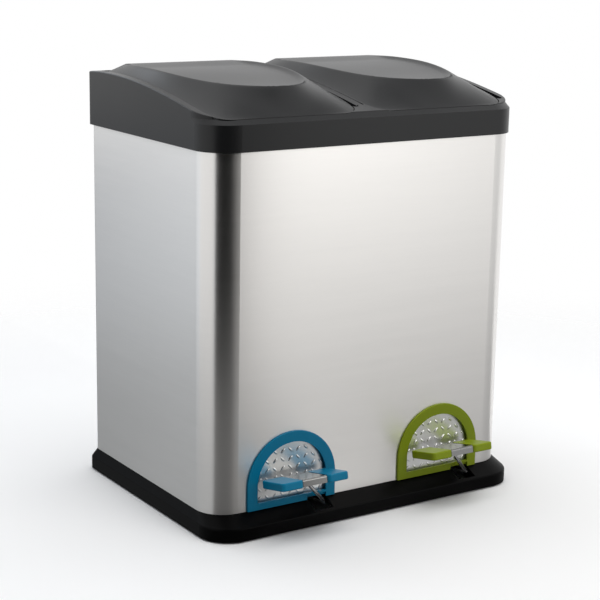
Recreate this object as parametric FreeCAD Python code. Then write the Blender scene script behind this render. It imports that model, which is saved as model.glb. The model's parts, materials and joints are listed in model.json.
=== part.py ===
import FreeCAD, Part
import math
import os

os.makedirs("parts", exist_ok=True)
V = FreeCAD.Vector
up = V(0, 0, 1)
alongX = V(1, 0, 0)

# Millimetres. X runs to the right, Y to the back, Z up, the floor is Z = 0.
# Shapes are laid out about the middle of the steel body, then moved together along Y
# so that the middle of the whole object is at the origin.

# clearances
seatGap = 0.3
slideGap = 0.3
runningGap = 0.05
lidGap = 0.7
lugGap = 0.5
barrelGap = 0.8
eyeGap = 0.8

# shapes that are joined run this far into each other, and cutting shapes run past
bite = 0.5
overshoot = 1.0
through = 100.0
nearly = 0.01

# steel body
bodyWidth = 386.8
bodyDepth = 268.2
bodyFrontRadius = 32.0
bodyBackRadius = 8.0
sheet = 1.0
shellTop = 412.0

# base
baseSideReach = 5.6
baseFront = -154.0
baseFrontRadius = 35.0
baseBackRadius = 10.0
baseBottom = 1.5
baseWallTop = 15.0
baseRound = 2.0
baseShoulder = 24.6
baseWall = 3.0
deckTop = 37.0
deckThickness = 2.5
shoulderReach = 0.2
hollowBottom = 5.0
wallRoof = 1.5
footRadius = 10.0
footEdge = 0.8
bossWall = 2.0
footHeight = 4.5
footX = 168.0
footFrontY = -112.0
footBackY = 114.0
screwX = 120.0
screwZ = 31.0
screwRadius = 2.0
screwDepth = 6.0
screwStand = 0.1
screwHeadRadius = 4.0
screwHeadHeight = 1.6
screwHeadEdge = 0.8
screwTapDepth = 10.0

# top frame
frameWidth = 392.0
frameDepth = 273.2
frameFrontRadius = 34.5
frameBackRadius = 6.0
frameBottom = 400.0
bandTop = 427.0
ledgeTop = 432.0
ledgeDepth = 7.5
rimRound = 1.2
rimPoles = [(-130.0, 432.5), (-80.0, 442.0), (10.0, 463.0), (108.0, 459.8)]
rimBackPoles = [(108.0, 459.8), (119.0, 459.5), (135.0, 459.3), (136.6, 456.0)]
ribHalf = 4.8
ribDrop = 1.3
shelfDrop = 6.3
shelfThickness = 3.0
openHalf = 86.0
openFront = -122.0
openBack = 89.0
rearFloor = 446.8
deckEdge = 120.4
openBackCorner = 6.0
wallEnd = -119.0
rimHighest = 20.0
hollowFront = -127.0
deckWall = 3.0
rearWallFront = 129.1
rearRoof = 456.3
windowReach = 4.0
windowHalf = 8.0

# lids
binCentre = 96.4
lidHalf = 90.9
lidFront = -129.3
lidBack = 108.0
lidCorner = 22.0
lidBackCorner = 3.0
lidSkin = 2.5
skirtDepth = 6.0
rearSkirtStart = 91.0
rearSkirtZ = 450.0
lidPoles = [(-130.0, 431.5), (-80.0, 440.5), (10.0, 461.5), (108.0, 459.0)]
lidFrontZ = 432.0
grooveStart = -20.0
grooveWidth = 7.7
grooveEnd = -113.0
grooveRound = 4.6
grooveInner = 78.0
crestHalf = 74.0
crestMiddleY = 30.0
crestReach = 136.0
crestCurlY = 60.0
crestCurl = 8.0
crestPoles = [(109.5, 467.2), (-6.6, 472.2), (-31.0, 460.5), (-112.0, 460.2)]
dishDepth = 3.0
dishWall = 9.0
slopePower = 1.15
crestRound = 3.0
gridStep = 3.0

# lid hinge and crank
hingeY = 112.0
hingeZ = 453.0
hingePinRadius = 2.0
barrelRadius = 5.2
barrelHalf = 84.0
lugX = [-62.0, 0.0, 62.0]
lugHalf = 4.0
lugRadius = 3.6
lugFront = 3.0
lugSlotDrop = 8.0
webDrop = 2.0
webRise = 3.5
lidSwing = 70.0
leverX = 40.7
crankReach = 16.1
crankPinRadius = 1.75
crankHalf = 3.5
crankArm = 3.0
crankGap = 0.9

# push rod
rodRadius = 3.0
rodHeadHalf = 2.5
rodHeadHeight = 13.0
rodHeadLength = 14.0
slotGap = 0.55
guideBottom = 402.0
guideTop = 408.0
guideHalf = 9.0

# pedal lever
pivotY = -45.0
pivotZ = 12.0
pivotPinRadius = 2.5
eyeRadius = 4.5
eyeHalf = 10.0
cheekHalf = 9.0
cheekThickness = 3.0
cheekDrop = 6.0
leverRadius = 2.0
beadRadius = 3.0
bendY = -137.2
bendZ = 19.0
weldLength = 13.0
leverSlotFront = -150.5
leverSlotLeft = 21.0
leverSlotRight = 44.0
leverSlotBottom = 7.0
leverSlotTop = 34.0

# pedal
pedalFront = -181.0
pedalTop = 66.9
pedalTilt = 12.0
pedalDepth = 42.0
pedalHalf = 41.0
padInner = 15.0
padThickness = 8.5
padCorner = 4.0
padEdge = 1.5
treadThickness = 2.0
treadDrop = 0.4
wingDrop = 0.1
treadMargin = 2.5
treadSpot = 21.0
lipHeight = 7.6

# arch trim and checker plate
archRadius = 54.5
archMiddleZ = 49.8
bandWidth = 11.7
barHeight = 7.2
trimThickness = 2.4
trimEdge = 0.8
trimPocket = 0.8
spigotInset = 4.0
spigotWall = 2.0
spigotDepth = 5.4
lipWidth = 3.0
lipThickness = 1.4
plateThickness = 1.2
barLength = 8.0
barWidth = 2.4
barRise = 0.6
barPitch = 9.5
barMargin = 0.6
patternDrop = 24.0
notchLeft = 19.0
notchRight = 43.0
notchTop = 30.0

# buckets
bucketMiddleY = -15.0
bucketRimHalf = 84.0
bucketRimDepth = 205.0
bucketTopHalf = 79.0
bucketTopDepth = 195.0
bucketFloorHalf = 71.0
bucketFloorDepth = 179.0
bucketCorner = 20.0
bucketTop = 419.0
bucketWall = 2.0
rimThickness = 3.0
rimCorner = 25.0
earHalf = 6.0
earInner = 75.0
earThickness = 3.5
earRise = 8.0
earDrop = 6.0
bailRise = 4.0
bailRadius = 2.0
bailX = 82.0
bailReach = 82.0
bailCorner = 16.0
bailEndGap = 2.0
gripRadius = 5.0
gripHalf = 45.0
gripEdge = 1.5

baseBack = bodyDepth / 2 + baseSideReach
padLow = padThickness - padEdge
pedalReach = (pedalFront + padEdge * (math.cos(math.radians(pedalTilt)) - 1)
              - padLow * math.sin(math.radians(pedalTilt)))
wholeShift = -(pedalReach + baseBack) / 2
bodyHalf = bodyWidth / 2
bodyFront = -bodyDepth / 2
bodyBack = bodyDepth / 2
shellBottom = baseShoulder + seatGap
crankDrop = lidSwing / 2
pinY = hingeY - crankReach * math.cos(math.radians(crankDrop))
pinZ = hingeZ - crankReach * math.sin(math.radians(crankDrop))
rodY = hingeY - crankReach * (1 + math.cos(math.radians(crankDrop))) / 2
trimBack = bodyFront - seatGap
trimFace = trimBack - trimThickness
pocketBack = trimBack + spigotDepth + trimPocket
crankPinHalf = rodHeadHalf + crankGap + crankArm
pivotPinHalf = eyeHalf + eyeGap + cheekThickness
bailZ = bucketTop + bailRise
gripY = bucketMiddleY - bailReach


def save(name, shape):
    moved = shape.copy()
    moved.translate(V(0, wholeShift, 0))
    moved.exportStep("parts/" + name + ".step")
    print(name, len(moved.Solids), round(moved.Volume))


def outline(half, front, back, frontRadius, backRadius, z, middle=0.0):
    left = middle - half
    right = middle + half
    corners = [
        (right - frontRadius, front + frontRadius, frontRadius, -90),
        (right - backRadius, back - backRadius, backRadius, 0),
        (left + backRadius, back - backRadius, backRadius, 90),
        (left + frontRadius, front + frontRadius, frontRadius, 180),
    ]
    arcs = []
    for x, y, radius, start in corners:
        turn = [math.radians(start + step) for step in (0, 45, 90)]
        points = [V(x + radius * math.cos(a), y + radius * math.sin(a), z) for a in turn]
        arcs.append(Part.Arc(*points).toShape())
    edges = []
    for index, arc in enumerate(arcs):
        following = arcs[(index + 1) % len(arcs)]
        edges.append(arc)
        edges.append(Part.makeLine(arc.valueAt(arc.LastParameter),
                                   following.valueAt(following.FirstParameter)))
    return Part.Wire(edges)


def prism(wire, height):
    return Part.Face(wire).extrude(V(0, 0, height))


def box(x0, x1, y0, y1, z0, z1):
    return Part.makeBox(x1 - x0, y1 - y0, z1 - z0, V(x0, y0, z0))


def rodAlongX(x0, x1, y, z, radius):
    return Part.makeCylinder(radius, x1 - x0, V(x0, y, z), alongX)


def rodAlongY(x, z, y0, y1, radius):
    return Part.makeCylinder(radius, y1 - y0, V(x, y0, z), V(0, 1, 0))


def bezier(poles, x=0.0, drop=0.0):
    curve = Part.BezierCurve()
    curve.setPoles([V(x, y, z - drop) for y, z in poles])
    return curve


def heightOn(poles, y):
    # height of a Bezier curve, given by (Y, Z) poles, at one Y
    rising = poles[-1][0] > poles[0][0]
    low, high = 0.0, 1.0
    for step in range(40):
        t = (low + high) / 2
        weights = [(1 - t) ** 3, 3 * (1 - t) ** 2 * t, 3 * (1 - t) * t * t, t ** 3]
        here = sum(w * pole[0] for w, pole in zip(weights, poles))
        if (here < y) == rising:
            low = t
        else:
            high = t
    return sum(w * pole[1] for w, pole in zip(weights, poles))


def sideSolid(edges, x0, x1):
    return Part.Face(Part.Wire(edges)).extrude(V(x1 - x0, 0, 0))


def closeWith(edges, points):
    # straight edges that close a side profile
    lines = [Part.makeLine(a, b) for a, b in zip(points, points[1:])]
    return edges + lines


def underRim(x0, x1, drop):
    curves = [bezier(rimPoles, x0, drop).toShape(), bezier(rimBackPoles, x0, drop).toShape()]
    firstY, firstZ = rimPoles[0]
    lastY, lastZ = rimBackPoles[-1]
    corners = [(lastY, lastZ - drop), (lastY, frameBottom), (-frameDepth, frameBottom),
               (-frameDepth, firstZ - drop), (firstY, firstZ - drop)]
    return sideSolid(closeWith(curves, [V(x0, y, z) for y, z in corners]), x0, x1)


def overRim(x0, x1, drop):
    # the space over the rim curve lowered by drop
    return underRim(x0, x1, -rimHighest).cut(underRim(x0, x1, drop))


def overLidEdge(x0, x1, drop, rearStart, rearZ):
    # all that lies over the lid edge lowered by drop, and over rearZ behind rearStart
    edges = [bezier(lidPoles, x0, drop).toShape()]
    firstY, firstZ = lidPoles[0]
    lastY, lastZ = lidPoles[-1]
    top = lastZ + through
    corners = [(lastY, lastZ - drop), (deckEdge, lastZ - drop), (deckEdge, top), (-frameDepth, top),
               (-frameDepth, firstZ - drop), (firstY, firstZ - drop)]
    solid = sideSolid(closeWith(edges, [V(x0, y, z) for y, z in corners]), x0, x1)
    return solid.fuse(box(x0, x1, rearStart, deckEdge, rearZ, top))


def lidOutline(grow, z, middle):
    # the lid from above: its right edge draws in toward the front and leaves a finger gap
    half = lidHalf + grow
    bigRadius = ((grooveStart - lidFront - lidCorner) ** 2 + grooveWidth ** 2) / (2 * grooveWidth)
    bigX = lidHalf - bigRadius
    cornerY = lidFront + lidCorner
    drop = grooveStart - cornerY
    cornerX = bigX + math.sqrt((bigRadius - lidCorner) ** 2 - drop ** 2)
    tangent = math.atan2(drop, cornerX - bigX)
    corner = lidCorner + grow
    rear = lidBackCorner + grow
    sweep = bigRadius + grow

    def at(x, y, radius, angle):
        return V(middle + x + radius * math.cos(angle), y + radius * math.sin(angle), z)

    def arc(x, y, radius, start, end):
        turns = [start, (start + end) / 2, end]
        return Part.Arc(*[at(x, y, radius, a) for a in turns]).toShape()

    quarter = math.pi / 2
    edges = [
        arc(lidHalf - lidBackCorner, lidBack - lidBackCorner, rear, quarter, 0),
        Part.makeLine(V(middle + half, lidBack - lidBackCorner, z), V(middle + half, grooveStart, z)),
        arc(bigX, grooveStart, sweep, 0, -tangent),
        arc(cornerX, cornerY, corner, -tangent, -quarter),
        Part.makeLine(V(middle + cornerX, lidFront - grow, z),
                      V(middle - lidHalf + lidCorner, lidFront - grow, z)),
        arc(-lidHalf + lidCorner, cornerY, corner, -quarter, -2 * quarter),
        Part.makeLine(V(middle - half, cornerY, z), V(middle - half, lidBack - lidBackCorner, z)),
        arc(-lidHalf + lidBackCorner, lidBack - lidBackCorner, rear, 2 * quarter, quarter),
        Part.makeLine(V(middle - lidHalf + lidBackCorner, lidBack + grow, z),
                      V(middle + lidHalf - lidBackCorner, lidBack + grow, z)),
    ]
    return Part.Wire(edges)


def smooth(t):
    t = max(0.0, min(1.0, t))
    return t * t * (3 - 2 * t)


def roundedRun(distance, whole):
    # share of the way from the crest, with the crest itself rounded
    start = crestRound
    return (math.hypot(distance, start) - start) / (math.hypot(whole, start) - start)


def lidHeight(x, y):
    # a shallow dish inside a raised crest, with hollow slopes from the crest to the edge
    behind = y >= crestMiddleY
    if behind:
        curl = crestCurl * max(0.0, (y - crestCurlY) / (lidBack - crestCurlY)) ** 2
        half = crestHalf - curl
        inward = half - abs(x)
        slope = lidHalf - half
        out = (abs(x) - half) / slope
        crestY = min(y, lidBack)
        edgeZ = heightOn(lidPoles, crestY)
    else:
        across = abs(x) / crestHalf
        along = (crestMiddleY - y) / crestReach
        reach = math.hypot(across, along)
        angle = math.atan2(along, across)
        sideHit = crestHalf * math.cos(angle) / lidHalf
        frontHit = crestReach * math.sin(angle) / (crestMiddleY - lidFront)
        edgeReach = (sideHit ** 10 + frontHit ** 10) ** -0.1
        local = math.hypot(crestHalf * math.cos(angle), crestReach * math.sin(angle))
        inward = (1 - reach) * local
        out = (reach - 1) / (edgeReach - 1)
        slope = (edgeReach - 1) * local
        crestY = crestMiddleY - crestReach * math.sin(angle)
        hitY = max(lidFront, crestMiddleY - crestReach * edgeReach * math.sin(angle))
        edgeZ = max(lidFrontZ, heightOn(lidPoles, hitY))
    crestZ = heightOn(crestPoles, crestY)
    if inward >= 0:
        dish = dishDepth * smooth((lidBack - y) / (lidBack - crestCurlY))
        floorZ = heightOn(crestPoles, max(y, crestPoles[-1][0])) - dish
        inner = max(0.0, 1 - roundedRun(inward, dishWall))
        return floorZ + (crestZ - floorZ) * inner ** 2
    fall = 1 - roundedRun(min(out, 1.0) * slope, slope)
    return edgeZ + (crestZ - edgeZ) * max(0.0, fall) ** slopePower


def lidSurface():
    margin = gridStep
    columns = int(2 * (lidHalf + margin) / gridStep) + 1
    rows = int((lidBack - lidFront + 2 * margin) / gridStep) + 1
    grid = []
    for i in range(columns):
        x = -lidHalf - margin + i * 2 * (lidHalf + margin) / (columns - 1)
        line = []
        for j in range(rows):
            y = lidFront - margin + j * (lidBack - lidFront + 2 * margin) / (rows - 1)
            line.append(V(x, y, lidHeight(x, y)))
        grid.append(line)
    surface = Part.BSplineSurface()
    surface.interpolate(grid)
    return surface.toShape()


def makeLid():
    below = lidSurface().extrude(V(0, 0, -through))
    whole = prism(lidOutline(0, frameBottom, 0), through).common(below)
    hollowTop = below.copy()
    hollowTop.translate(V(0, 0, -lidSkin))
    hollow = prism(lidOutline(-lidSkin, frameBottom - overshoot, 0), through).common(hollowTop)
    lid = whole.cut(hollow)
    lid = lid.common(overLidEdge(-lidHalf - overshoot, lidHalf + overshoot, skirtDepth,
                                 rearSkirtStart, rearSkirtZ))
    lugRoom = lugHalf + lugGap
    edges = [-barrelHalf] + [x + s * lugRoom for x in lugX for s in (-1, 1)] + [barrelHalf]
    for start, end in zip(edges[0::2], edges[1::2]):
        barrel = rodAlongX(start, end, hingeY, hingeZ, barrelRadius)
        web = box(start, end, lidBack - lidSkin, hingeY, hingeZ - webDrop, hingeZ + webRise)
        lid = lid.fuse(barrel).fuse(web)
    for side in (-1, 1):
        inner = leverX + side * (rodHeadHalf + crankGap)
        outer = inner + side * crankArm
        lid = lid.fuse(crankShape(min(inner, outer), max(inner, outer)))
    lid = lid.cut(rodAlongX(-lidHalf, lidHalf, hingeY, hingeZ, hingePinRadius + runningGap))
    for x in lugX:
        lid = lid.cut(box(x - lugRoom, x + lugRoom, lidBack, deckEdge, hingeZ - lugSlotDrop,
                          hingeZ + barrelRadius))
    lid = lid.cut(rodAlongX(leverX - crankPinHalf, leverX + crankPinHalf, pinY, pinZ, crankPinRadius))
    return lid.removeSplitter()


def crankShape(x0, x1):
    # a flat arm from the hinge to the crank pin
    length = crankReach
    arm = box(x0, x1, -length, 0, -crankHalf, crankHalf)
    arm = arm.fuse(rodAlongX(x0, x1, -length, 0, crankHalf))
    arm.rotate(V(0, 0, 0), alongX, crankDrop)
    arm.translate(V(0, hingeY, hingeZ))
    return arm


def onRim(edge, half, back):
    # outer top edges of the frame's side walls and corners
    bounds = edge.BoundBox
    middle = edge.valueAt((edge.FirstParameter + edge.LastParameter) / 2)
    if bounds.ZMin < ledgeTop + nearly or bounds.YMax > back - nearly:
        return False
    return abs(middle.x) > half - frameFrontRadius and bounds.YLength > frameBackRadius


def frameBody(half, front, back):
    band = prism(outline(half, front, back, frameFrontRadius, frameBackRadius, frameBottom),
                 bandTop - frameBottom)
    lower = outline(half, front, back, frameFrontRadius, frameBackRadius, bandTop)
    upper = outline(half, front + ledgeDepth, back, frameFrontRadius, frameBackRadius, ledgeTop)
    flare = Part.makeLoft([lower, upper], True, True)
    body = band.fuse([flare, prism(upper, through)]).removeSplitter()
    body = body.common(underRim(-half, half, 0))
    return body.makeFillet(rimRound, [e for e in body.Edges if onRim(e, half, back)])


def lidRoom(middle):
    # the space cut from the frame for one lid, its finger gap, hinge and bucket
    x0 = middle - lidHalf - lidGap
    x1 = middle + lidHalf + lidGap
    wide = (x0 - overshoot, x1 + overshoot)
    plan = prism(lidOutline(lidGap, frameBottom, middle), through)
    plan = plan.fuse(box(x0, x1, openBack, deckEdge, frameBottom, frameBottom + through))
    over = overLidEdge(*wide, shelfDrop, openBack, rearFloor)
    shelf = overLidEdge(*wide, shelfDrop + shelfThickness, openBack, rearFloor - shelfThickness)
    groove = box(x1 - lidGap - lidHalf + grooveInner, x1, grooveEnd + grooveRound, grooveStart,
                 frameBottom, frameBottom + through)
    tip = Part.makeCylinder(grooveRound, through,
                            V(x1 - grooveRound, grooveEnd + grooveRound, frameBottom))
    return [
        plan.common(over),
        plan.common(box(*wide, hollowFront, deckEdge, frameBottom, frameBottom + through)).cut(shelf),
        prism(outline(openHalf, openFront, openBack, lidCorner, openBackCorner, frameBottom, middle),
              through),
        groove.fuse(tip),
        box(x0, x1, deckEdge + deckWall, rearWallFront, frameBottom, rearRoof),
        rodAlongX(x0, x1, hingeY, hingeZ, barrelRadius + barrelGap),
    ]


def makeFrame():
    half = frameWidth / 2
    front = -frameDepth / 2
    back = frameDepth / 2
    frame = frameBody(half, front, back)
    rib = overRim(-ribHalf - bite, ribHalf + bite, ribDrop)
    rib = rib.common(box(-half, half, lidFront + lidCorner, lidBack, frameBottom, frameBottom + through))
    wallTip = box(-half, -binCentre, front, wallEnd, ledgeTop, frameBottom + through)
    grown = slideGap
    thin = sheet + slideGap
    shellOuter = prism(outline(bodyHalf + grown, bodyFront - grown, bodyBack + grown,
                               bodyFrontRadius + grown, bodyBackRadius + grown, frameBottom),
                       shellTop + seatGap - frameBottom)
    shellInner = prism(outline(bodyHalf - thin, bodyFront + thin, bodyBack - thin,
                               bodyFrontRadius - thin, bodyBackRadius - thin, frameBottom - overshoot),
                       through)
    cuts = [rib, wallTip] + lidRoom(-binCentre) + lidRoom(binCentre) + [shellOuter.cut(shellInner)]
    for cutter in cuts:
        frame = frame.cut(cutter)

    for middle in (-binCentre, binCentre):
        for x in lugX:
            centre = middle + x
            foot = box(centre - lugHalf, centre + lugHalf, hingeY - lugFront, deckEdge + bite,
                       rearFloor - overshoot, hingeZ)
            eye = rodAlongX(centre - lugHalf, centre + lugHalf, hingeY, hingeZ, lugRadius)
            frame = frame.fuse(foot).fuse(eye)
        rodX = middle + leverX
        guide = box(rodX - guideHalf, rodX + guideHalf, openBack - bite, bodyBack - thin - overshoot,
                    guideBottom, guideTop)
        frame = frame.fuse(guide)
        frame = frame.cut(rodAlongX(middle - lidHalf, middle + lidHalf, hingeY, hingeZ,
                                    hingePinRadius + runningGap))
        window = box(rodX - guideHalf, rodX + guideHalf, openBack - windowReach, hingeY,
                     rearFloor - windowHalf, rearFloor + windowHalf)
        frame = frame.cut(window)
        hole = Part.makeCylinder(rodRadius + slideGap, through, V(rodX, rodY, shellTop - through))
        frame = frame.cut(hole)
    return frame.removeSplitter()


def archOutline(inset, bottom, y, middle):
    radius = archRadius - inset
    arc = Part.Arc(V(middle + radius, y, archMiddleZ), V(middle, y, archMiddleZ + radius),
                   V(middle - radius, y, archMiddleZ)).toShape()
    points = [V(middle - radius, y, archMiddleZ), V(middle - radius, y, bottom),
              V(middle + radius, y, bottom), V(middle + radius, y, archMiddleZ)]
    return Part.Wire(closeWith([arc], points))


def archSolid(inset, bottom, y0, y1, middle):
    return Part.Face(archOutline(inset, bottom, y0, middle)).extrude(V(0, y1 - y0, 0))


archFoot = baseShoulder + seatGap
spigotFoot = archFoot + spigotInset / 2
plateFoot = spigotFoot + spigotWall


def makeTrim(middle):
    flange = archSolid(0, archFoot, trimFace, trimBack, middle)
    flange = flange.cut(archSolid(bandWidth, archFoot + barHeight, trimFace - overshoot,
                                  trimBack + overshoot, middle))
    rim = [e for e in flange.Edges if abs(e.CenterOfMass.y - trimFace) < nearly
           and e.Length > 2 * archRadius + nearly and e.BoundBox.XLength > 2 * archRadius - nearly]
    flange = flange.makeFillet(trimEdge, rim)
    spigot = archSolid(spigotInset, spigotFoot, trimBack, trimBack + spigotDepth, middle)
    wall = spigotInset + spigotWall
    hollow = archSolid(wall, plateFoot, trimBack - overshoot, pocketBack, middle)
    lip = archSolid(wall - bite, plateFoot - bite, trimBack + spigotDepth - lipThickness,
                    trimBack + spigotDepth, middle)
    lip = lip.cut(archSolid(wall + lipWidth, plateFoot + lipWidth, trimBack, pocketBack, middle))
    trim = flange.fuse(spigot.cut(hollow)).fuse(lip)
    trim = trim.cut(box(middle + notchLeft, middle + notchRight, trimFace - overshoot,
                        trimBack + runningGap, archFoot - overshoot, notchTop))
    return trim.removeSplitter()


def makePlate(middle):
    front = trimBack + spigotDepth - lipThickness - seatGap - plateThickness
    inset = spigotInset + spigotWall + seatGap
    plate = archSolid(inset, plateFoot + seatGap, front, front + plateThickness, middle)
    window = archSolid(bandWidth + barMargin, archFoot + barHeight + barMargin, front - through,
                       front + through, middle)
    ridges = []
    count = int(2 * archRadius / barPitch)
    radius = (barLength ** 2 + barWidth ** 2) / (4 * barWidth)
    offset = radius - barWidth / 2
    for row in range(count):
        for column in range(count):
            x = middle + (column - (count - 1) / 2) * barPitch
            z = archMiddleZ - patternDrop + row * barPitch
            lens = rodAlongY(x, z + offset, front - barRise, front + bite, radius)
            lens = lens.common(rodAlongY(x, z - offset, front - barRise, front + bite, radius))
            lens.rotate(V(x, 0, z), V(0, 1, 0), 45 if (row + column) % 2 else -45)
            inside = lens.common(window)
            if inside.Volume > lens.Volume / 2:
                ridges.append(inside)
    return plate.fuse(ridges).removeSplitter()


def makeShell():
    outer = prism(outline(bodyHalf, bodyFront, bodyBack, bodyFrontRadius, bodyBackRadius, shellBottom),
                  shellTop - shellBottom)
    inner = prism(outline(bodyHalf - sheet, bodyFront + sheet, bodyBack - sheet,
                          bodyFrontRadius - sheet, bodyBackRadius - sheet, shellBottom - overshoot),
                  shellTop - shellBottom + 2 * overshoot)
    shell = outer.cut(inner)
    for middle in (-binCentre, binCentre):
        shell = shell.cut(archSolid(spigotInset - slideGap, shellBottom - overshoot,
                                    bodyFront - overshoot, bodyFront + sheet + overshoot, middle))
    for x in (-screwX, screwX):
        shell = shell.cut(rodAlongY(x, screwZ, bodyBack - screwDepth, bodyBack + overshoot,
                                    screwRadius + slideGap))
    return shell


def makeBase():
    half = bodyHalf + baseSideReach
    inset = sheet + slideGap

    def level(shrink, z):
        return outline(half - shrink, baseFront + shrink, baseBack - shrink,
                       baseFrontRadius - shrink, baseBackRadius - shrink, z)

    def shoulder(shrink, z):
        return outline(bodyHalf - shrink, bodyFront + shrink, bodyBack - shrink,
                       bodyFrontRadius - shrink, bodyBackRadius - shrink, z)

    base = prism(level(0, baseBottom), baseWallTop - baseBottom)
    base = base.fuse(Part.makeLoft([level(0, baseWallTop), shoulder(-shoulderReach, baseShoulder)],
                                   True, True))
    base = base.removeSplitter()
    base = base.makeFillet(baseRound, [e for e in base.Edges if e.BoundBox.ZMin > baseWallTop - nearly
                                       and e.BoundBox.ZMax < baseWallTop + nearly])
    base = base.fuse(prism(shoulder(inset, baseWallTop), deckTop - baseWallTop))
    hollow = prism(level(baseWall, 0), baseWallTop - wallRoof)
    hollow = hollow.fuse(Part.makeLoft([level(baseWall, baseWallTop - wallRoof),
                                        shoulder(baseWall, baseShoulder - baseWall)], True, True))
    hollow = hollow.fuse(prism(shoulder(inset + baseWall, hollowBottom),
                               deckTop - deckThickness - hollowBottom))
    base = base.cut(hollow)
    for x in (-footX, footX):
        for y in (footFrontY, footBackY):
            base = base.fuse(Part.makeCylinder(footRadius + bossWall,
                                               deckTop - deckThickness + bite - footHeight - seatGap,
                                               V(x, y, footHeight + seatGap)))
    for middle in (-binCentre, binCentre):
        x = middle + leverX
        for way in (-1, 1):
            inner = x + way * (eyeHalf + eyeGap)
            outer = x + way * pivotPinHalf
            cheek = box(min(inner, outer), max(inner, outer), pivotY - cheekHalf, pivotY + cheekHalf,
                        pivotZ - cheekDrop, deckTop - deckThickness + bite)
            base = base.fuse(cheek)
        base = base.cut(rodAlongX(x - pivotPinHalf - overshoot, x + pivotPinHalf + overshoot, pivotY,
                                  pivotZ, pivotPinRadius + runningGap))
        base = base.cut(Part.makeCylinder(rodRadius + slideGap, deckThickness + 2 * overshoot,
                                          V(x, rodY, deckTop - deckThickness - overshoot)))
        base = base.cut(box(middle - archRadius - bite, middle + archRadius + bite,
                            bodyFront - slideGap, pocketBack, baseShoulder, deckTop + overshoot))
        base = base.cut(box(middle + leverSlotLeft, middle + leverSlotRight, leverSlotFront, pocketBack,
                            leverSlotBottom, leverSlotTop))
    for x in (-screwX, screwX):
        base = base.cut(rodAlongY(x, screwZ, bodyBack - screwTapDepth, bodyBack + overshoot,
                                  screwRadius + runningGap))
    return base.removeSplitter()


def makeFeet():
    feet = []
    for x in (-footX, footX):
        for y in (footFrontY, footBackY):
            foot = Part.makeCylinder(footRadius, footHeight, V(x, y, 0))
            rim = [e for e in foot.Edges if abs(e.CenterOfMass.z) < nearly]
            feet.append(foot.makeChamfer(footEdge, rim))
    return Part.makeCompound(feet)


def makeScrews():
    screws = []
    for x in (-screwX, screwX):
        under = bodyBack + screwStand
        shank = rodAlongY(x, screwZ, bodyBack - screwDepth, under + bite, screwRadius)
        head = rodAlongY(x, screwZ, under, under + screwHeadHeight, screwHeadRadius)
        rim = [e for e in head.Edges if abs(e.CenterOfMass.y - under - screwHeadHeight) < nearly]
        head = head.makeFillet(screwHeadEdge, rim)
        screws.append(shank.fuse(head).removeSplitter())
    return Part.makeCompound(screws)


def rodPath(points, radius):
    shapes = []
    for start, end in zip(points, points[1:]):
        shapes.append(Part.makeCylinder(radius, (end - start).Length, start, end - start))
    for point in points[1:-1]:
        shapes.append(Part.makeSphere(radius, point))
    return shapes[0].fuse(shapes[1:])


tilt = math.radians(pedalTilt)
treadUnder = (pedalTop - treadSpot * math.sin(tilt)
              - (treadDrop + treadThickness) / math.cos(tilt))
weldY = pedalFront + treadSpot * math.cos(tilt)


def makeLever(middle):
    x = middle + leverX
    weldZ = treadUnder - leverRadius / math.cos(tilt) - seatGap
    path = [V(middle - weldLength, weldY, weldZ), V(middle, weldY, weldZ), V(x, bendY, bendZ),
            V(x, pivotY, pivotZ), V(x, rodY, pivotZ)]
    lever = rodPath(path, leverRadius)
    lever = lever.fuse(Part.makeSphere(beadRadius, path[-1]))
    lever = lever.fuse(rodAlongX(x - eyeHalf, x + eyeHalf, pivotY, pivotZ, eyeRadius))
    lever = lever.cut(rodAlongX(x - eyeHalf - overshoot, x + eyeHalf + overshoot, pivotY, pivotZ,
                                pivotPinRadius + runningGap))
    return lever.removeSplitter()


def placePedal(shape, middle):
    shape.rotate(V(0, 0, 0), alongX, -pedalTilt)
    shape.translate(V(middle, pedalFront, pedalTop))
    return shape


def treadProfile(x0, x1, grow):
    # side outline of the tread: flat, then bent down into the front lip
    top = -treadDrop + grow
    under = -treadDrop - treadThickness - grow
    front = treadMargin - grow
    inner = treadMargin + treadThickness + grow
    low = -treadDrop - lipHeight
    back = pedalDepth - treadMargin + grow
    bend = treadThickness
    diagonal = bend * (1 - math.sqrt(0.5))
    arc = Part.Arc(V(x0, front, top - bend), V(x0, front + diagonal, top - diagonal),
                   V(x0, front + bend, top)).toShape()
    points = [(front + bend, top), (back, top), (back, under), (inner, under), (inner, low),
              (front, low), (front, top - bend)]
    return sideSolid(closeWith([arc], [V(x0, y, z) for y, z in points]), x0, x1)


def makeTread(middle):
    centre = treadProfile(-padInner + seatGap, padInner - seatGap, 0)
    wing = box(-pedalHalf + treadMargin, pedalHalf - treadMargin, treadMargin + treadThickness,
               pedalDepth - treadMargin, -treadDrop - treadThickness, -treadDrop - wingDrop)
    return placePedal(centre.fuse(wing).removeSplitter(), middle)


def makePad(middle, side):
    start = padInner if side > 0 else -pedalHalf
    pad = box(start, start + pedalHalf - padInner, 0, pedalDepth, -padThickness, 0)
    upright = [e for e in pad.Edges if e.BoundBox.ZLength > padThickness - nearly]
    pad = pad.makeFillet(padCorner, upright)
    rims = [e for e in pad.Edges if e.BoundBox.ZLength < nearly]
    pad = pad.makeFillet(padEdge, rims)
    pocket = box(-pedalHalf + treadMargin - seatGap, pedalHalf - treadMargin + seatGap,
                 treadMargin + treadThickness - seatGap, pedalDepth - treadMargin + seatGap,
                 -treadDrop - treadThickness - seatGap, -treadDrop - wingDrop + seatGap)
    return placePedal(pad.cut(pocket), middle)


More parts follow.
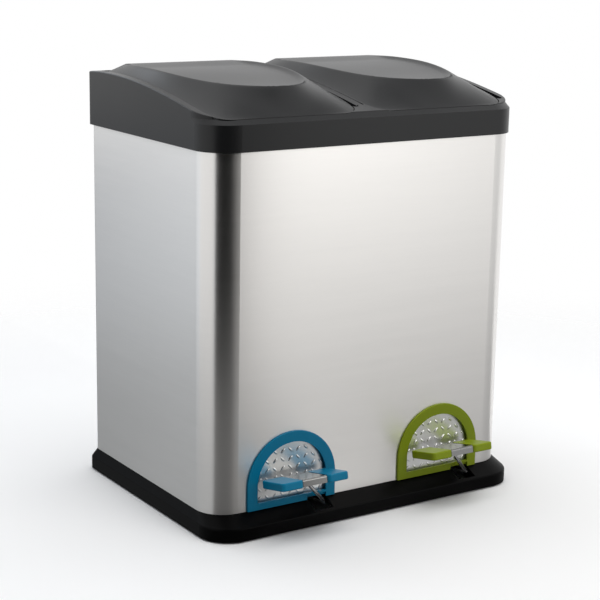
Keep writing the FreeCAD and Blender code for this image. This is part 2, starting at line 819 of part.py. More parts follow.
def makePushRod(middle):
    x = middle + leverX
    bottom = pivotZ + beadRadius + seatGap
    room = crankPinRadius + slotGap
    travel = (crankReach - (hingeY - pinY)) / 2
    side = rodHeadHalf + overshoot
    rod = Part.makeCylinder(rodRadius, pinZ - rodHeadHeight / 2 - bottom, V(x, rodY, bottom))
    head = box(x - rodHeadHalf, x + rodHeadHalf, rodY - rodHeadLength / 2, rodY + rodHeadLength / 2,
               pinZ - rodHeadHeight / 2, pinZ + rodHeadHeight / 2)
    slot = box(x - side, x + side, rodY - travel, rodY + travel, pinZ - room, pinZ + room)
    ends = [rodAlongX(x - side, x + side, rodY + way * travel, pinZ, room) for way in (-1, 1)]
    return rod.fuse(head).cut(slot.fuse(ends)).removeSplitter()


def makeCrankPin(middle):
    x = middle + leverX
    return rodAlongX(x - crankPinHalf, x + crankPinHalf, pinY, pinZ, crankPinRadius)


def makePivotPin(middle):
    x = middle + leverX
    return rodAlongX(x - pivotPinHalf, x + pivotPinHalf, pivotY, pivotZ, pivotPinRadius)


def makeHingePin(middle):
    return rodAlongX(middle - barrelHalf, middle + barrelHalf, hingeY, hingeZ, hingePinRadius)


def makeBucket(middle):
    def ring(half, depth, corner, z):
        return outline(half, bucketMiddleY - depth / 2, bucketMiddleY + depth / 2, corner, corner, z,
                       middle)

    floorZ = deckTop + seatGap
    outer = Part.makeLoft([ring(bucketFloorHalf, bucketFloorDepth, bucketCorner, floorZ),
                           ring(bucketTopHalf, bucketTopDepth, bucketCorner, bucketTop)], True, True)
    inner = Part.makeLoft([ring(bucketFloorHalf - bucketWall, bucketFloorDepth - 2 * bucketWall,
                                bucketCorner - bucketWall, floorZ + bucketWall),
                           ring(bucketTopHalf - bucketWall, bucketTopDepth - 2 * bucketWall,
                                bucketCorner - bucketWall, bucketTop)], True, True)
    rim = prism(ring(bucketRimHalf, bucketRimDepth, rimCorner, bucketTop - rimThickness), rimThickness)
    rim = rim.cut(prism(ring(bucketTopHalf - bite, bucketTopDepth - 2 * bite, bucketCorner - bite,
                             bucketTop - rimThickness - overshoot), rimThickness + 2 * overshoot))
    bucket = outer.cut(inner).fuse(rim)
    for side in (-1, 1):
        near = middle + side * earInner
        far = near + side * earThickness
        ear = box(min(near, far), max(near, far), bucketMiddleY - earHalf, bucketMiddleY + earHalf,
                  bucketTop - rimThickness - earDrop, bucketTop + earRise)
        bucket = bucket.fuse(ear)
    bucket = bucket.cut(rodAlongX(middle - bucketRimHalf, middle + bucketRimHalf, bucketMiddleY, bailZ,
                                  bailRadius + slideGap))
    return bucket.removeSplitter()


def makeBail(middle):
    left = middle - bailX
    right = middle + bailX
    end = earInner - bailEndGap
    path = [V(middle - end, bucketMiddleY, bailZ), V(left, bucketMiddleY, bailZ),
            V(left, gripY + bailCorner, bailZ), V(left + bailCorner, gripY, bailZ),
            V(right - bailCorner, gripY, bailZ), V(right, gripY + bailCorner, bailZ),
            V(right, bucketMiddleY, bailZ), V(middle + end, bucketMiddleY, bailZ)]
    return rodPath(path, bailRadius).removeSplitter()


def makeGrip(middle):
    grip = rodAlongX(middle - gripHalf, middle + gripHalf, gripY, bailZ, gripRadius)
    ends = [e for e in grip.Edges if e.Curve.TypeId == "Part::GeomCircle"]
    grip = grip.makeFillet(gripEdge, ends)
    return grip.cut(rodAlongX(middle - gripHalf - overshoot, middle + gripHalf + overshoot, gripY,
                              bailZ, bailRadius + slideGap))


save("body_shell", makeShell())
save("base_tray", makeBase())
save("rubber_feet", makeFeet())
save("base_screws", makeScrews())
save("top_frame", makeFrame())
lidShape = makeLid()
for middle, name in ((-binCentre, "left"), (binCentre, "right")):
    lid = lidShape.copy()
    lid.translate(V(middle, 0, 0))
    save(name + "_lid", lid)
    save(name + "_hinge_pin", makeHingePin(middle))
    save(name + "_crank_pin", makeCrankPin(middle))
    save(name + "_push_rod", makePushRod(middle))
    save(name + "_pedal_lever", makeLever(middle))
    save(name + "_pivot_pin", makePivotPin(middle))
    save(name + "_pedal_tread", makeTread(middle))
    save(name + "_pedal_left_pad", makePad(middle, -1))
    save(name + "_pedal_right_pad", makePad(middle, 1))
    save(name + "_arch_trim", makeTrim(middle))
    save(name + "_checker_plate", makePlate(middle))
    save(name + "_bucket", makeBucket(middle))
    save(name + "_bail", makeBail(middle))
    save(name + "_bail_grip", makeGrip(middle))
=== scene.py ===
import bisect
import bmesh
import bpy
import json
import math
from mathutils import Matrix, Vector


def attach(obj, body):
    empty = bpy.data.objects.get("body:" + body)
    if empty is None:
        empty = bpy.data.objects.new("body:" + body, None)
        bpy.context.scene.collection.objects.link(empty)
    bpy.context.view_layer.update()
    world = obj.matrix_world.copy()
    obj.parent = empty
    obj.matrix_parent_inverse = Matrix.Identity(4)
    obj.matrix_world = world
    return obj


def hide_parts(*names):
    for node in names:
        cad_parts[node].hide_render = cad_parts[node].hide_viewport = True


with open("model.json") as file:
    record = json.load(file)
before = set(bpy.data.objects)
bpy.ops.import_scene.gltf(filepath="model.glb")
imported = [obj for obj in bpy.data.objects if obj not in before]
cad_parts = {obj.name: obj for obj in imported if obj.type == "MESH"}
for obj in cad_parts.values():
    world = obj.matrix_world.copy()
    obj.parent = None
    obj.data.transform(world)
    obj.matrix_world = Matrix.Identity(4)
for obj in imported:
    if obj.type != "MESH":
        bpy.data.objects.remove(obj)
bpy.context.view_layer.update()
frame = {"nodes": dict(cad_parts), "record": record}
print("stage 1: frame loaded")


class Signal:
    # one output of a shader node, with arithmetic
    def __init__(self, tree, socket):
        self.tree = tree
        self.socket = socket

    def make(self, kind, inputs=None, **settings):
        node = self.tree.nodes.new(kind)
        for name, value in settings.items():
            setattr(node, name, value)
        for name, value in (inputs or {}).items():
            if isinstance(value, Signal):
                self.tree.links.new(value.socket, node.inputs[name])
            else:
                node.inputs[name].default_value = value
        return node

    def out(self, kind, inputs=None, output=0, **settings):
        return Signal(self.tree, self.make(kind, inputs, **settings).outputs[output])

    def math(self, operation, first, second=0.0):
        return self.out("ShaderNodeMath", {0: first, 1: second}, operation=operation)

    def __add__(self, other):
        return self.math("ADD", self, other)

    def __radd__(self, other):
        return self.math("ADD", other, self)

    def __sub__(self, other):
        return self.math("SUBTRACT", self, other)

    def __rsub__(self, other):
        return self.math("SUBTRACT", other, self)

    def __mul__(self, other):
        return self.math("MULTIPLY", self, other)

    def __rmul__(self, other):
        return self.math("MULTIPLY", other, self)

    def top(self, other):
        return self.math("MAXIMUM", self, other)

    def mix(self, low, high):
        return self.out("ShaderNodeMix", {0: self, 6: (*low, 1.0), 7: (*high, 1.0)}, 2, data_type="RGBA")


def newMaterial(name, settings):
    material = bpy.data.materials.new(name)
    material.use_nodes = True
    tree = material.node_tree
    surface = tree.nodes["Principled BSDF"]
    for socket, value in settings.items():
        surface.inputs[socket].default_value = value
    return material, surface, Signal(tree, tree.nodes.new("ShaderNodeTexCoord").outputs["Object"])


def feed(surface, socket, signal):
    signal.tree.links.new(signal.socket, surface.inputs[socket])


def stretched(place, x, y, z):
    return place.out("ShaderNodeMapping", {"Vector": place, "Scale": (x, y, z)})


def noise(place, scale, detail=4.0, roughness=0.5):
    return place.out("ShaderNodeTexNoise", {"Vector": place, "Scale": scale, "Detail": detail,
                                            "Roughness": roughness})


def bump(surface, height, strength, distance):
    feed(surface, "Normal", height.out("ShaderNodeBump", {"Height": height, "Strength": strength,
                                                          "Distance": distance}))


def shades(color, share):
    # a darker and a lighter neighbour of one colour
    return tuple(c * (1 - share) for c in color), tuple(min(1.0, c * (1 + share)) for c in color)


surfaceSettings = {
    "grainRise": 0.0001,  # metres
    "patchScale": 9.0,  # soft patches of tone per metre
    "plasticSpread": 0.06,  # change of roughness from patch to patch
    "steelSpread": 0.12,
    "lineShare": 0.6,  # fine lines against wide ones in the steel
    "wideLines": 8,  # wide lines are this many times as wide
    "grainTurn": 0.25,  # the grain lies level, so that gloss spreads up and down
}

plasticSettings = {
    # slot: colour, roughness, specular level, grain per metre, grain depth, colour change
    "charcoal_plastic": ((0.010, 0.0104, 0.0112), 0.36, 0.36, 1700.0, 0.3, 0.10),
    "base_plastic": ((0.002, 0.002, 0.0021), 0.34, 0.05, 1700.0, 0.2, 0.10),
    "foot_rubber": ((0.012, 0.012, 0.012), 0.85, 0.3, 900.0, 0.4, 0.15),
    "blue_plastic": ((0.0, 0.20, 0.36), 0.40, 0.2, 1200.0, 0.08, 0.05),
    "green_plastic": ((0.24, 0.31, 0.012), 0.42, 0.15, 1200.0, 0.08, 0.05),
    "bucket_plastic": ((0.085, 0.088, 0.092), 0.42, 0.4, 1500.0, 0.2, 0.08),
}

steelSettings = {
    # slot: colour, roughness, anisotropy, grain stretch, grain per metre, colour change, grain depth
    "steel_wrap": ((0.80, 0.785, 0.765), 0.34, 0.75, (0.03, 0.03, 1.0), 1500.0, 0.035, 0.10),
    "checker_metal": ((0.90, 0.90, 0.89), 0.30, 0.0, (1.0, 1.0, 1.0), 1200.0, 0.05, 0.08),
    "polished_steel": ((0.22, 0.22, 0.216), 0.2, 0.0, (0.05, 1.0, 1.0), 1500.0, 0.04, 0.05),
    "steel_rod": ((0.55, 0.55, 0.55), 0.22, 0.0, (1.0, 1.0, 1.0), 1500.0, 0.05, 0.05),
}


def makePlastic(name, color, rough, gloss, grain, depth, change):
    material, surface, place = newMaterial(name, {"Specular IOR Level": gloss})
    s = surfaceSettings
    spread = s["plasticSpread"]
    patch = noise(place, s["patchScale"], detail=3.0)
    feed(surface, "Base Color", patch.mix(*shades(color, change)))
    feed(surface, "Roughness", patch * spread + (rough - spread / 2))
    bump(surface, noise(place, grain, detail=2.0), depth, s["grainRise"])
    return material


def makeSteel(name, color, rough, along, stretch, grain, change, depth):
    s = surfaceSettings
    spread = s["steelSpread"]
    material, surface, place = newMaterial(name, {"Metallic": 1.0, "Anisotropic": along,
                                                  "Anisotropic Rotation": s["grainTurn"]})
    lines = noise(stretched(place, *stretch), grain, detail=3.0, roughness=0.6)
    wide = noise(stretched(place, *stretch), grain / s["wideLines"], detail=2.0)
    both = lines * s["lineShare"] + wide * (1 - s["lineShare"])
    feed(surface, "Base Color", both.mix(*shades(color, change)))
    feed(surface, "Roughness", both * spread + (rough - spread / 2))
    bump(surface, lines, depth, s["grainRise"])
    return material


materials = {slot: makePlastic(slot, *values) for slot, values in plasticSettings.items()}
materials.update({slot: makeSteel(slot, *values) for slot, values in steelSettings.items()})
slots = {entry["node"]: entry["material_slot"] for entry in frame["record"]["subparts"]}
for name, node in frame["nodes"].items():
    node.data.materials.clear()
    node.data.materials.append(materials[slots[name]])
print("stage 2: plastics and steels made")


placeSettings = {
    "metre": 1000.0,  # in millimetres
    "back": 21.394,  # the steel body's middle lies this far behind the frame's origin
    "sharpAngle": 35.0,  # degrees, past which an edge stays crisp
}


def finish(name, mesh, middle, body, slot, replaced):
    # from millimetres about one bin's middle to metres in the frame
    s = placeSettings
    small = 1 / s["metre"]
    bmesh.ops.scale(mesh, vec=(small, small, small), verts=mesh.verts)
    bmesh.ops.translate(mesh, vec=(middle / s["metre"], s["back"] / s["metre"], 0.0), verts=mesh.verts)
    data = bpy.data.meshes.new(name)
    mesh.to_mesh(data)
    mesh.free()
    data.polygons.foreach_set("use_smooth", [True] * len(data.polygons))
    data.set_sharp_from_angle(angle=math.radians(s["sharpAngle"]))
    data.materials.append(materials[slot])
    piece = bpy.data.objects.new(name, data)
    bpy.context.scene.collection.objects.link(piece)
    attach(piece, body)
    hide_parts(replaced)


lidSettings = {
    # millimetres about one bin's middle
    "centres": {"left_lid": -96.4, "right_lid": 96.4},
    "half": 90.9,
    "front": -129.3,
    "back": 108.0,
    "corner": 22.0,
    "backCorner": 3.0,
    "gapStart": 25.0,
    "gapWidth": 8.3,
    # side views as four poles each: the lid's edge, and the crease round its dish
    "edge": [(-130.0, 431.5), (-80.0, 440.5), (10.0, 461.5), (108.0, 459.0)],
    "frontHeight": 432.0,
    "crest": [(109.5, 467.1), (-6.6, 472.1), (-31.0, 460.4), (-112.0, 460.2)],
    "crestHalf": 74.0,
    "crestMiddle": 30.0,
    "crestReach": 136.0,
    "curlStart": 60.0,
    "curl": 8.0,
    "crestRound": 1.4,
    "dishDepth": 3.0,
    "dishWall": 9.0,
    "slopePower": 1.15,
    "skin": 2.5,
    "skirt": 6.0,
    "rearSkirt": (91.0, 450.0),
    "edgeRound": 1.2,
    "rings": 96,
    "hub": 10.0,
    "edgePower": 10,  # how square the lid's edge is, as the slopes see it
    "curveSteps": 600,
    "rollSteps": 5,
    "rearCornerSteps": 5,
    "cornerSteps": 16,
    "gapSteps": 34,
    "straightSteps": {"right": 44, "front": 44, "left": 76, "back": 60},
    "seam": 0.01,  # points closer than this become one
}

hingeSettings = {
    # millimetres, and the crank's lean in degrees
    "axis": (112.0, 453.0),
    "radius": 5.2,
    "bore": 2.05,
    "barrels": [(-84.0, -66.5), (-57.5, -4.5), (4.5, 57.5), (66.5, 84.0)],
    "webFront": 105.5,
    "webBack": 109.4,
    "web": (451.0, 456.5),
    "crankX": 40.7,
    "crankGap": 3.4,
    "crankThick": 3.0,
    "crankHalf": 3.5,
    "crankStart": 6.55,
    "crankReach": 16.1,
    "crankAngle": 35.0,
    "barrelSteps": 40,
    "crankSteps": 32,
}


def curvePoint(poles, t):
    weights = [(1 - t) ** 3, 3 * (1 - t) ** 2 * t, 3 * (1 - t) * t * t, t ** 3]
    return [sum(w * pole[i] for w, pole in zip(weights, poles)) for i in (0, 1)]


def heightCurve(poles):
    # the height of a side curve at any distance back, read between close points
    count = lidSettings["curveSteps"]
    points = sorted(curvePoint(poles, i / count) for i in range(count + 1))
    depths = [p[0] for p in points]

    def look(y):
        y = min(max(y, depths[0]), depths[-1])
        low = max(0, min(bisect.bisect_right(depths, y) - 1, count - 1))
        (y0, z0), (y1, z1) = points[low:low + 2]
        return z0 + (z1 - z0) * (y - y0) / (y1 - y0)

    return look


edgeHeight = heightCurve(lidSettings["edge"])
crestHeight = heightCurve(lidSettings["crest"])


def smoothStep(t):
    t = max(0.0, min(1.0, t))
    return t * t * (3 - 2 * t)


def roundedRun(distance, whole):
    # the share of a run that is done, starting flat
    start = lidSettings["crestRound"]
    return (math.hypot(distance, start) - start) / (math.hypot(whole, start) - start)


def lidHeight(x, y):
    # a dished middle inside a raised crease, and slopes from the crease down to the edge
    s = lidSettings
    if y >= s["crestMiddle"]:
        curl = s["curl"] * max(0.0, (y - s["curlStart"]) / (s["back"] - s["curlStart"])) ** 2
        half = s["crestHalf"] - curl
        slope = s["half"] - half
        inward = half - abs(x)
        out = -inward / slope
        crestZ = crestHeight(y)
        edgeZ = edgeHeight(y)
    else:
        across = abs(x) / s["crestHalf"]
        along = (s["crestMiddle"] - y) / s["crestReach"]
        reach = math.hypot(across, along)
        angle = math.atan2(along, across)
        sideHit = s["crestHalf"] * math.cos(angle) / s["half"]
        frontHit = s["crestReach"] * math.sin(angle) / (s["crestMiddle"] - s["front"])
        power = s["edgePower"]
        edgeReach = (sideHit ** power + frontHit ** power) ** (-1 / power)
        local = math.hypot(s["crestHalf"] * math.cos(angle), s["crestReach"] * math.sin(angle))
        inward = (1 - reach) * local
        slope = (edgeReach - 1) * local
        out = (reach - 1) / (edgeReach - 1)
        crestZ = crestHeight(s["crestMiddle"] - s["crestReach"] * math.sin(angle))
        hit = s["crestMiddle"] - s["crestReach"] * edgeReach * math.sin(angle)
        edgeZ = max(s["frontHeight"], edgeHeight(hit))
    if inward >= 0:
        dish = s["dishDepth"] * smoothStep((s["back"] - y) / (s["back"] - s["curlStart"]))
        floorZ = crestHeight(y) - dish
        return floorZ + (crestZ - floorZ) * max(0.0, 1 - roundedRun(inward, s["dishWall"])) ** 2
    fall = max(0.0, 1 - roundedRun(min(out, 1.0) * slope, slope))
    return edgeZ + (crestZ - edgeZ) * fall ** s["slopePower"]


# the outline is drawn by a pen vertex, in lines and arcs
def drawLine(mesh, pen, x, y, steps):
    stride = (Vector((x, y, 0.0)) - pen.co) / steps
    for step in range(steps):
        pen = bmesh.ops.extrude_vert_indiv(mesh, verts=[pen])["verts"][0]
        pen.co += stride
    return pen


def drawArc(mesh, start, x, y, turn, steps):
    made = bmesh.ops.spin(mesh, geom=[start], cent=(x, y, 0.0), axis=(0.0, 0.0, 1.0), angle=turn,
                          steps=steps)
    return [part for part in made["geom_last"] if isinstance(part, bmesh.types.BMVert)][0]


def lidPlan(mesh):
    # the outline from above: the right edge draws in toward the front for the finger gap
    s = lidSettings
    half, corner, rear = s["half"], s["corner"], s["backCorner"]
    cornerY = s["front"] + corner
    drop = s["gapStart"] - cornerY
    sweep = (drop ** 2 + s["gapWidth"] ** 2) / (2 * s["gapWidth"])
    cornerX = half - sweep + math.sqrt((sweep - corner) ** 2 - drop ** 2)
    lean = math.atan2(drop, cornerX - half + sweep)
    quarter = math.pi / 2
    straight = s["straightSteps"]
    pen = mesh.verts.new((half - rear, s["back"], 0.0))
    pen = drawArc(mesh, pen, half - rear, s["back"] - rear, -quarter, s["rearCornerSteps"])
    pen = drawLine(mesh, pen, half, s["gapStart"], straight["right"])
    pen = drawArc(mesh, pen, half - sweep, s["gapStart"], -lean, s["gapSteps"])
    pen = drawArc(mesh, pen, cornerX, cornerY, lean - quarter, s["cornerSteps"])
    pen = drawLine(mesh, pen, corner - half, s["front"], straight["front"])
    pen = drawArc(mesh, pen, corner - half, cornerY, -quarter, s["cornerSteps"])
    pen = drawLine(mesh, pen, -half, s["back"] - rear, straight["left"])
    pen = drawArc(mesh, pen, rear - half, s["back"] - rear, -quarter, s["rearCornerSteps"])
    drawLine(mesh, pen, half - rear, s["back"], straight["back"])
    bmesh.ops.remove_doubles(mesh, verts=mesh.verts, dist=s["seam"])
    return bmesh.ops.contextual_create(mesh, geom=mesh.edges)["faces"][0]


def lidCover(mesh):
    # a rolled edge, rings shrunk toward the hub and draped over the lid's form, then a skirt
    s = lidSettings
    middle = lidPlan(mesh)
    if middle.normal.z < 0:
        bmesh.ops.reverse_faces(mesh, faces=[middle])
    steps = s["rollSteps"]
    for step in range(steps):
        before, after = [math.radians(90 * (step + more) / steps) for more in (0, 1)]
        thickness = s["edgeRound"] * (math.cos(before) - math.cos(after))
        rise = s["edgeRound"] * (math.sin(after) - math.sin(before))
        bmesh.ops.inset_region(mesh, faces=[middle], thickness=thickness, use_even_offset=True)
        bmesh.ops.translate(mesh, vec=(0.0, 0.0, rise), verts=middle.verts)
    hub = Matrix.Translation((0.0, -s["hub"], 0.0))
    middle = bmesh.ops.extrude_discrete_faces(mesh, faces=[middle])["faces"][0]
    share = 1 / s["rings"]
    bmesh.ops.scale(mesh, vec=(share, share, 1.0), space=hub, verts=middle.verts)
    inner = set(middle.verts)
    spokes = [edge for edge in mesh.edges if len(inner.intersection(edge.verts)) == 1]
    bmesh.ops.subdivide_edges(mesh, edges=spokes, cuts=s["rings"] - 2, use_grid_fill=True)
    bmesh.ops.poke(mesh, faces=[middle])
    for vert in mesh.verts:
        vert.co.z += lidHeight(vert.co.x, vert.co.y) - s["edgeRound"]
    rim = [edge for edge in mesh.edges if edge.is_boundary]
    made = bmesh.ops.extrude_edge_only(mesh, edges=rim)["geom"]
    rearStart, rearZ = s["rearSkirt"]
    for vert in [part for part in made if isinstance(part, bmesh.types.BMVert)]:
        low = edgeHeight(vert.co.y) - s["skirt"]
        vert.co.z = low if vert.co.y < rearStart else min(low, rearZ)
    bmesh.ops.recalc_face_normals(mesh, faces=mesh.faces)
    bmesh.ops.solidify(mesh, geom=mesh.faces, thickness=s["skin"])


def addBlock(mesh, low, high):
    made = bmesh.ops.create_cube(mesh, size=1.0)["verts"]
    bmesh.ops.scale(mesh, vec=[b - a for a, b in zip(low, high)], verts=made)
    bmesh.ops.translate(mesh, vec=[(a + b) / 2 for a, b in zip(low, high)], verts=made)


def addBarrel(mesh, start, end):
    # a tube round the hinge pin, with a web that joins it to the lid
    s = hingeSettings
    y, z = s["axis"]
    corners = [mesh.verts.new((x, y, z + radius)) for x, radius in
               ((start, s["bore"]), (start, s["radius"]), (end, s["radius"]), (end, s["bore"]))]
    profile = [mesh.edges.new((corners[i - 1], corners[i])) for i in range(4)]
    bmesh.ops.spin(mesh, geom=corners + profile, cent=(0.0, y, z), axis=(1.0, 0.0, 0.0),
                   angle=2 * math.pi, steps=s["barrelSteps"], use_merge=True)
    addBlock(mesh, (start, s["webFront"], s["web"][0]), (end, s["webBack"], s["web"][1]))


def addCrank(mesh, start, thick):
    # a flat arm with round ends, from inside the barrel to the crank pin
    s = hingeSettings
    turn = Matrix.Rotation(math.radians(90), 4, "Y")
    arm = bmesh.ops.create_circle(mesh, cap_ends=True, radius=s["crankHalf"],
                                  segments=s["crankSteps"], matrix=turn)["verts"]
    length = s["crankReach"] - s["crankStart"]
    bmesh.ops.translate(mesh, vec=(0.0, -length, 0.0), verts=[v for v in arm if v.co.y < 0])
    face = arm[0].link_faces[0]
    made = bmesh.ops.extrude_face_region(mesh, geom=[face])["geom"]
    far = [part for part in made if isinstance(part, bmesh.types.BMVert)]
    bmesh.ops.translate(mesh, vec=(thick, 0.0, 0.0), verts=far)
    y, z = s["axis"]
    place = (Matrix.Translation((start, y, z)) @ Matrix.Rotation(math.radians(s["crankAngle"]), 4, "X")
             @ Matrix.Translation((0.0, -s["crankStart"], 0.0)))
    bmesh.ops.transform(mesh, matrix=place, verts=list(arm) + far)


def lidMesh():
    mesh = bmesh.new()
    lidCover(mesh)
    s = hingeSettings
    for start, end in s["barrels"]:
        addBarrel(mesh, start, end)
    addCrank(mesh, s["crankX"] + s["crankGap"], s["crankThick"])
    addCrank(mesh, s["crankX"] - s["crankGap"], -s["crankThick"])
    bmesh.ops.recalc_face_normals(mesh, faces=mesh.faces)
    return mesh


lidShape = lidMesh()
for node, middle in lidSettings["centres"].items():
    finish(node + "_cover", lidShape.copy(), middle, node + "_body", "charcoal_plastic", node)
lidShape.free()
print("stage 3: lids made")


plateSettings = {
    # millimetres about one bin's middle
    "centres": {"left_checker_plate": -96.4, "right_checker_plate": 96.4},
    "radius": 48.2,
    "middle": 49.8,
    "foot": 29.2,
    "front": -131.9,
    "thick": 1.2,
    "windowRadius": 42.8,
    "windowFoot": 32.1,
    "pitch": 9.5,
    "patternFoot": 25.8,
    "barLength": 7.2,
    "barWidth": 2.6,
    "barRise": 0.95,
    "barLean": 45.0,  # degrees, to the right and to the left by turns
    "rows": 11,
    "rimSteps": 96,
    "slack": 0.1,
    "barFaces": (12, 6),
}


def makePlate(node, middle):
    # a half disc with a straight foot, and raised bars inside the window of the arch
    s = plateSettings
    mesh = bmesh.new()
    upright = (Matrix.Translation((0.0, s["front"], s["middle"]))
               @ Matrix.Rotation(math.radians(90), 4, "X"))
    sheet = bmesh.ops.create_circle(mesh, cap_ends=True, radius=s["radius"], segments=s["rimSteps"],
                                    matrix=upright)
    below = [v for v in sheet["verts"] if v.co.z < s["middle"] - s["slack"]]
    bmesh.ops.scale(mesh, vec=(1.0, 1.0, 0.0), verts=below)
    bmesh.ops.translate(mesh, vec=(0.0, 0.0, s["foot"]), verts=below)
    bmesh.ops.solidify(mesh, geom=mesh.faces, thickness=s["thick"])
    flat = Matrix.Diagonal((s["barLength"] / 2, s["barRise"], s["barWidth"] / 2, 1.0))
    around, along = s["barFaces"]
    for row in range(s["rows"]):
        for column in range(s["rows"]):
            x = (column - (s["rows"] - 1) / 2) * s["pitch"]
            z = s["patternFoot"] + row * s["pitch"]
            if math.hypot(x, max(0.0, z - s["middle"])) > s["windowRadius"] or z < s["windowFoot"]:
                continue
            bar = bmesh.ops.create_uvsphere(mesh, u_segments=around, v_segments=along,
                                            radius=1.0)["verts"]
            side = 1 if (row + column) % 2 else -1
            lean = Matrix.Rotation(math.radians(side * s["barLean"]), 4, "Y")
            seat = Matrix.Translation((x, s["front"], z))
            bmesh.ops.transform(mesh, matrix=seat @ lean @ flat, verts=bar)
    bmesh.ops.recalc_face_normals(mesh, faces=mesh.faces)
    finish(node + "_face", mesh, middle, "bin_body", "checker_metal", node)


for node, middle in plateSettings["centres"].items():
    makePlate(node, middle)
print("stage 4: checker plates made")


studioSettings = {
    # metres and watts
    "floorSize": 12.0,
    "floorBounce": 0.45,
    "floorShown": 0.96,
    "floorRoughness": 0.7,
    "floorGloss": 0.1,
    "fadeStart": 0.45,
    "fadeEnd": 1.1,
    "ambient": 0.25,
    "ambientColor": (0.95, 0.97, 1.0, 1.0),
    # glowing cards, no lamps, that only reflections see, painting reflected light and shade onto the
    # metal and plastic: name, first and last bearing from the front in degrees, first and last shade of
    # the painted glow, the bearings between which it changes, and a side outline as distances and
    # heights
    "cards": [
        ("blackFlag", (-62.0, 9.0), (0.002, 1.4), (2.0, 9.0), [(0.45, 0.11), (0.45, 1.2)]),
        ("lowFlag", (-62.0, 9.0), (0.18, 0.5), (-8.0, 9.0), [(0.45, 0.001), (0.45, 0.11)]),
        ("nearFlag", (-62.0, 9.0), (0.13, 0.42), (-8.0, 9.0), [(0.2, 0.001), (0.45, 0.001)]),
        ("frontCard", (9.0, 75.0), (0.44, 0.36), (9.0, 50.0), [(0.2, 0.001), (1.1, 0.001)]),
        ("rightCard", (42.0, 75.0), (1.0, 0.8), (42.0, 55.0), [(1.1, 0.001), (1.1, 1.5)]),
        ("leftCard", (-180.0, -62.0), (0.27, 0.34), (-160.0, -110.0), [(0.2, 0.001), (0.9, 0.001)]),
        ("backCard", (-180.0, -115.0), (0.40, 1.0), (-152.0, -120.0), [(0.9, 0.001), (0.9, 0.33)]),
        ("overCard", (85.0, 150.0), (0.5, 0.5), (85.0, 150.0), [(0.95, 1.25), (0.55, 1.6), (0.3, 1.65)]),
    ],
    "cardSteps": 24,
    # tints of the painted reflections from the left and back cards
    "cardTint": {"leftCard": (0.97, 1.0, 1.02), "backCard": (0.95, 1.0, 1.06)},
    "lights": [
        # name, place, size, watts, colour, seen in gloss
        ("topLight", (0.1, 0.1, 2.4), (2.2, 2.2), 50.0, (1.0, 1.0, 1.0), False),
        ("frontRightLight", (0.68, -1.65, 1.05), (1.2, 1.2), 8.0, (1.0, 0.98, 0.95), True),
        ("backLeftLight", (-0.9, 2.2, 1.5), (1.6, 1.2), 12.0, (0.82, 0.90, 1.0), True),
    ],
    "target": (0.0, 0.0, 0.25),
}

cameraSettings = {
    # metres, degrees and millimetres
    "place": (-0.96479, -1.44544, 0.61917),
    "yaw": 33.301,
    "pitch": 13.261,
    "roll": 1.015,
    "lens": 95.77,
    "sensor": 36.0,
}


def addLight(name, place, size, power, color, glossy):
    data = bpy.data.lights.new(name, "AREA")
    data.shape = "RECTANGLE"
    data.size, data.size_y = size
    data.energy = power
    data.color = color
    light = bpy.data.objects.new(name, data)
    bpy.context.scene.collection.objects.link(light)
    light.location = place
    toward = Vector(studioSettings["target"]) - light.location
    light.rotation_euler = toward.to_track_quat("-Z", "Y").to_euler()
    light.visible_camera = False
    light.visible_glossy = glossy


def shownRay(tree):
    # the rays that see the background itself: camera, gloss and glass
    path = tree.nodes.new("ShaderNodeLightPath")
    seen = [Signal(tree, path.outputs[name]) for name in
            ("Is Camera Ray", "Is Glossy Ray", "Is Transmission Ray")]
    return seen[0].top(seen[1]).top(seen[2])


def stageSheet(name, sheet, material):
    # the floor and the cards belong to the studio
    data = bpy.data.meshes.new(name)
    sheet.to_mesh(data)
    sheet.free()
    data.materials.append(material)
    card = bpy.data.objects.new(name, data)
    bpy.context.scene.collection.objects.link(card)
    return card


def makeFloor():
    # white to the eye, greyer to bounced light, and clear far out, where the world shows
    s = studioSettings
    material, surface, place = newMaterial("paleFloor", {"Roughness": s["floorRoughness"],
                                                         "Specular IOR Level": s["floorGloss"]})
    seen = shownRay(place.tree)
    feed(surface, "Base Color", seen.mix((s["floorBounce"],) * 3, (s["floorShown"],) * 3))
    away = place.out("ShaderNodeVectorMath", {0: place}, 1, operation="LENGTH")
    fade = away.out("ShaderNodeMapRange", {"Value": away, "From Min": s["fadeStart"],
                                           "From Max": s["fadeEnd"], "To Min": 1.0, "To Max": 0.0},
                    interpolation_type="SMOOTHSTEP")
    feed(surface, "Alpha", 1.0 - seen * (1.0 - fade))
    sheet = bmesh.new()
    bmesh.ops.create_grid(sheet, x_segments=1, y_segments=1, size=s["floorSize"] / 2)
    stageSheet("floor", sheet, material)


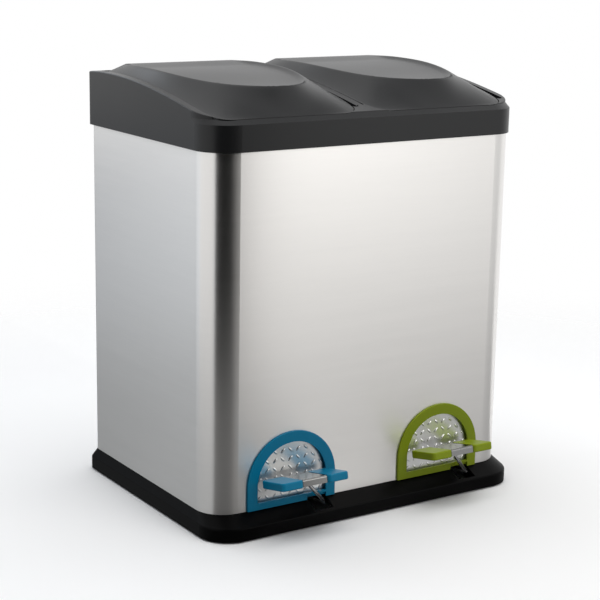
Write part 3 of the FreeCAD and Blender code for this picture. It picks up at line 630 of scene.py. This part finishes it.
def standCard(name, ends, shadePair, change, profile):
    # one side outline turned about the object into a glowing sheet that paints reflections, its glow
    # changing with the bearing
    material, surface, place = newMaterial(name, {"Base Color": (0.0, 0.0, 0.0, 1.0), "Roughness": 1.0,
                                                  "Specular IOR Level": 0.0, "Emission Strength": 1.0})
    parts = place.make("ShaderNodeSeparateXYZ", {"Vector": place}).outputs
    x, y = Signal(place.tree, parts[0]), Signal(place.tree, parts[1])
    share = place.out("ShaderNodeMapRange", {
        "Value": place.math("ARCTAN2", x, 0.0 - y), "From Min": math.radians(change[0]),
        "From Max": math.radians(change[1]), "To Min": 0.0, "To Max": 1.0})
    tint = studioSettings["cardTint"].get(name, (1.0, 1.0, 1.0))
    # the painted glow that reflections show, shaded by bearing
    feed(surface, "Emission Color", share.mix(*[[shade * c for c in tint] for shade in shadePair]))
    sheet = bmesh.new()
    points = [sheet.verts.new((0.0, -reach, height)) for reach, height in profile]
    edges = [sheet.edges.new(pair) for pair in zip(points, points[1:])]
    first, last = [math.radians(end) for end in ends]
    bmesh.ops.rotate(sheet, cent=(0.0, 0.0, 0.0), matrix=Matrix.Rotation(first, 3, "Z"), verts=points)
    bmesh.ops.spin(sheet, geom=points + edges, cent=(0.0, 0.0, 0.0), axis=(0.0, 0.0, 1.0),
                   angle=last - first, steps=studioSettings["cardSteps"])
    card = stageSheet(name, sheet, material)
    for way in ("camera", "diffuse", "transmission", "volume_scatter", "shadow"):
        setattr(card, "visible_" + way, False)


def makeWorld():
    world = bpy.data.worlds.new("studio")
    bpy.context.scene.world = world
    world.use_nodes = True
    tree = world.node_tree
    tree.nodes.clear()
    seen = shownRay(tree)
    dim = seen.out("ShaderNodeBackground", {"Color": studioSettings["ambientColor"],
                                            "Strength": studioSettings["ambient"]})
    white = seen.out("ShaderNodeBackground", {"Color": (1.0, 1.0, 1.0, 1.0), "Strength": 1.0})
    both = seen.out("ShaderNodeMixShader", {0: seen, 1: dim, 2: white})
    both.make("ShaderNodeOutputWorld", {"Surface": both})


def makeCamera():
    s = cameraSettings
    yaw, pitch, roll = [math.radians(s[name]) for name in ("yaw", "pitch", "roll")]
    ahead = Vector((math.sin(yaw) * math.cos(pitch), math.cos(yaw) * math.cos(pitch), -math.sin(pitch)))
    level = Vector((math.cos(yaw), -math.sin(yaw), 0.0))
    upward = level.cross(ahead)
    right = level * math.cos(roll) + upward * math.sin(roll)
    above = upward * math.cos(roll) - level * math.sin(roll)
    data = bpy.data.cameras.new("camera")
    data.lens = s["lens"]
    data.sensor_width = s["sensor"]
    camera = bpy.data.objects.new("camera", data)
    bpy.context.scene.collection.objects.link(camera)
    camera.matrix_world = (Matrix.Translation(s["place"])
                           @ Matrix((right, above, -ahead)).transposed().to_4x4())
    bpy.context.scene.camera = camera


makeFloor()
for card in studioSettings["cards"]:
    standCard(*card)
makeWorld()
for light in studioSettings["lights"]:
    addLight(*light)
makeCamera()
bpy.context.scene.view_settings.view_transform = "Standard"
print("stage 5: light and camera set")
